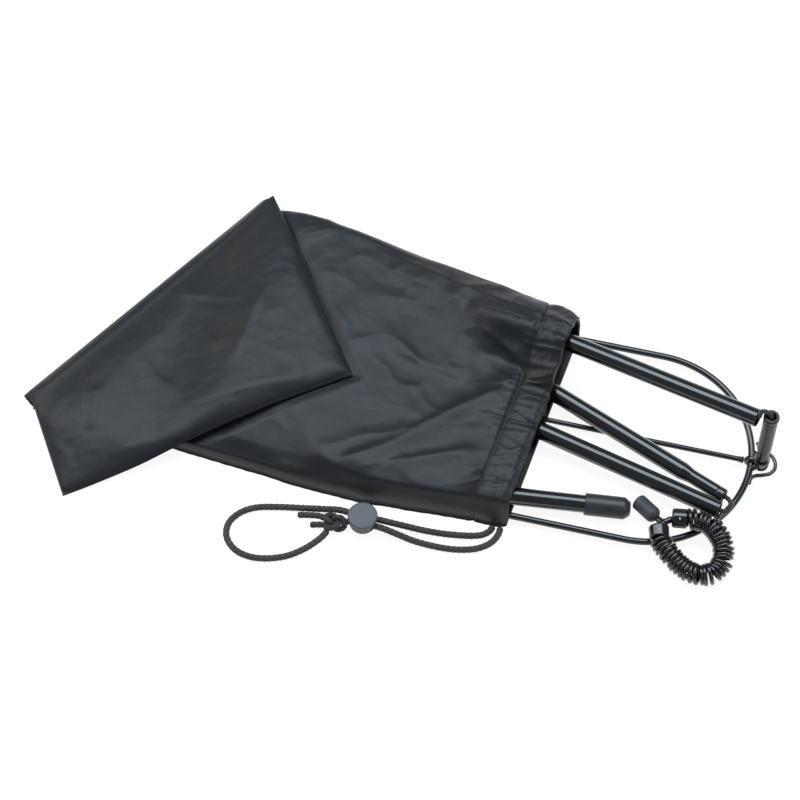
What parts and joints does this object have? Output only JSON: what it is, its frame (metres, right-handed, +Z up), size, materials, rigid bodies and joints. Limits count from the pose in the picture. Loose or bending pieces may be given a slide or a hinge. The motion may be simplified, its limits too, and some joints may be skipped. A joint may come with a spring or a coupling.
{
  "type": "drawstring bag with folded frame",
  "caption": "Drawstring storage bag with its end folded over, holding a wire-hoop base, a folded shock-cord pole and a coiled tether.",
  "frame": {"origin": "on the ground under the middle of the object, measured without the drawcord, its lock and the tether", "axes": "+X out of the bag's mouth along the hoop's stay, +Y to the left when looking along +X, +Z up"},
  "size_m": [0.4839, 0.2643, 0.0701],
  "materials": {
    "nylon_cloth": "semi-matte coated nylon weave",
    "braided_cord": "matte braid",
    "black_wire": "gloss black coating",
    "black_tube": "gloss black coating",
    "spigot_grey": "satin dark grey",
    "elastic": "matte woven elastic",
    "black_rubber": "satin rubber",
    "gloss_black": "gloss black plastic",
    "lock_plastic": "matte moulded plastic",
    "spring_steel": "bright drawn wire"
  },
  "bodies": {
    "root": {"bag_top_panel": "nylon_cloth", "bag_bottom_panel": "nylon_cloth", "hem_upper": "nylon_cloth", "hem_lower": "nylon_cloth", "hem_cord_run": "braided_cord", "fold_roll": "nylon_cloth", "drawcord_loop": "braided_cord", "drawcord_strand": "braided_cord", "drawcord_knot": "braided_cord", "drawcord_tails": "braided_cord"},
    "bag_end": {"flap_inner_panel": "nylon_cloth", "flap_outer_panel": "nylon_cloth", "flap_end_seam": "nylon_cloth"},
    "frame": {"hoop_wire_front": "black_wire", "hoop_wire_rear": "black_wire", "centre_stay": "black_wire", "stay_eye": "black_wire", "spigot_bracket": "black_wire", "spigot_post": "spigot_grey", "spigot_tube": "spigot_grey", "shock_link_spigot": "elastic", "shock_link_inner": "elastic", "shock_link_outer": "elastic", "shock_link_tip": "elastic"},
    "clip": {"wire_clip": "black_wire"},
    "pole_1": {"pole_section_1": "black_tube", "shock_cord_1": "elastic"},
    "pole_2": {"pole_section_2": "black_tube", "shock_cord_2": "elastic"},
    "pole_3": {"pole_section_3": "black_tube", "shock_cord_3": "elastic"},
    "pole_4": {"pole_section_4": "black_tube", "shock_cord_4": "elastic"},
    "sleeve": {"tip_sleeve": "black_rubber"},
    "tether": {"tether_boot": "black_rubber", "tether_link": "gloss_black", "tether_collar_a": "gloss_black", "tether_collar_b": "gloss_black", "tether_coil": "gloss_black"},
    "lock": {"lock_barrel": "lock_plastic", "lock_spring": "spring_steel"},
    "button": {"lock_button": "lock_plastic"}
  },
  "joints": [
    {"name": "bag_end_fold", "type": "hinge", "parent": "root", "child": "bag_end", "pos_m": [-0.18167, 0.02905, 0.0042], "axis": [-0.524, -0.8517, 0], "range_deg": [0, 150]},
    {"name": "frame_draw", "type": "slide", "parent": "root", "child": "frame", "axis": [1, 0, 0], "range_m": [0, 0.03]},
    {"name": "clip_swivel", "type": "hinge", "parent": "frame", "child": "clip", "pos_m": [0.2315, -0.001, 0.0019], "axis": [0, 0, 1], "range_deg": [-20, 20]},
    {"name": "pole_1_slide", "type": "slide", "parent": "frame", "child": "pole_1", "axis": [0.9426, -0.2954, 0.1556], "range_m": [-0.02, 0], "deforming": ["shock_link_spigot"]},
    {"name": "pole_2_slide", "type": "slide", "parent": "frame", "child": "pole_2", "axis": [0.9259, -0.3778, -0.0061], "range_m": [-0.02, 0], "deforming": ["shock_link_inner"]},
    {"name": "pole_3_slide", "type": "slide", "parent": "frame", "child": "pole_3", "axis": [0.9703, -0.2419, 0.0035], "range_m": [-0.02, 0], "deforming": ["shock_link_outer"]},
    {"name": "pole_4_slide", "type": "slide", "parent": "frame", "child": "pole_4", "axis": [0.9904, 0.1304, -0.045], "range_m": [-0.01, 0], "deforming": ["shock_link_tip"]},
    {"name": "sleeve_turn", "type": "hinge", "parent": "pole_4", "child": "sleeve", "pos_m": [0.1565, -0.054, 0.008], "axis": [0.9904, 0.1304, -0.045], "continuous": true},
    {"name": "tether_swing", "type": "hinge", "parent": "frame", "child": "tether", "pos_m": [0.1608, -0.0484, 0.0095], "axis": [0, 0, 1], "range_deg": [-20, 0]},
    {"name": "lock_slide", "type": "slide", "parent": "root", "child": "lock", "axis": [1, 0, 0], "range_m": [0, 0.045], "deforming": ["drawcord_loop", "drawcord_strand"]},
    {"name": "button_press", "type": "slide", "parent": "lock", "child": "button", "axis": [0, 0, -1], "range_m": [0, 0.0018], "stiffness_N_per_m": 400, "springref_m": -0.002, "deforming": ["lock_spring"]}
  ]
}
